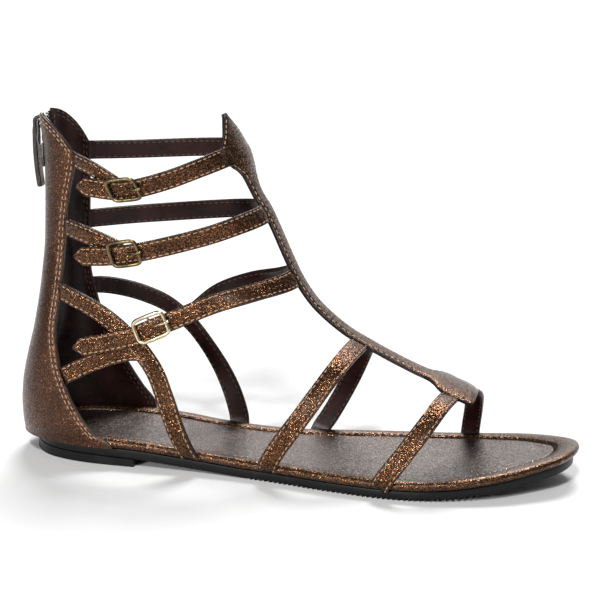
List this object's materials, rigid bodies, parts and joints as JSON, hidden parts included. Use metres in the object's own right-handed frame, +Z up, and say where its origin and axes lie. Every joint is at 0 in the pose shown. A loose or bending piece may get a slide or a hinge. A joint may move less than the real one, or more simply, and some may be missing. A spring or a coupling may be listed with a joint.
{
  "type": "gladiator sandal",
  "caption": "Flat open-toe gladiator sandal with a tall zipped back shaft, T-bar, buckled ankle straps, padded footbed and thin rubber sole with a low heel; right foot.",
  "frame": {"origin": "on the floor under the middle of the heel, at the mount heel_rest", "axes": "+X from heel to toe, +Y to the inner side of the foot, +Z up"},
  "size_m": [0.253, 0.0905, 0.1557],
  "materials": {
    "black_rubber": "satin black moulded rubber",
    "bronze_leather": "metallic bronze foil over crackled leather, glittering",
    "sock_leather": "fine sparkling grey-bronze foil leather",
    "lining_leather": "dark brown smooth lining, half gloss",
    "stitch_thread": "tan thread",
    "antique_brass": "antique brass, worn",
    "bright_brass": "pale polished brass",
    "zip_tape": "dark brown woven tape",
    "zip_metal": "nickel"
  },
  "bodies": {
    "shoe": {"outsole": "black_rubber", "heel_lift": "black_rubber", "footbed": "bronze_leather", "insole": "sock_leather", "upper": "bronze_leather", "zip_tape_outer": "zip_tape", "zip_tape_inner": "zip_tape", "zip_slider": "zip_metal", "buckle_top": "antique_brass", "prong_top": "antique_brass", "buckle_middle": "antique_brass", "prong_middle": "antique_brass", "buckle_lower": "bright_brass", "prong_lower": "bright_brass"},
    "pull": {"zip_pull": "bronze_leather"}
  },
  "joints": [
    {"name": "zip_pull_swing", "type": "hinge", "parent": "shoe", "child": "pull", "pos_m": [-0.0258, 0, 0.1483], "axis": [0, 1, 0], "range_deg": [0, 150]}
  ]
}
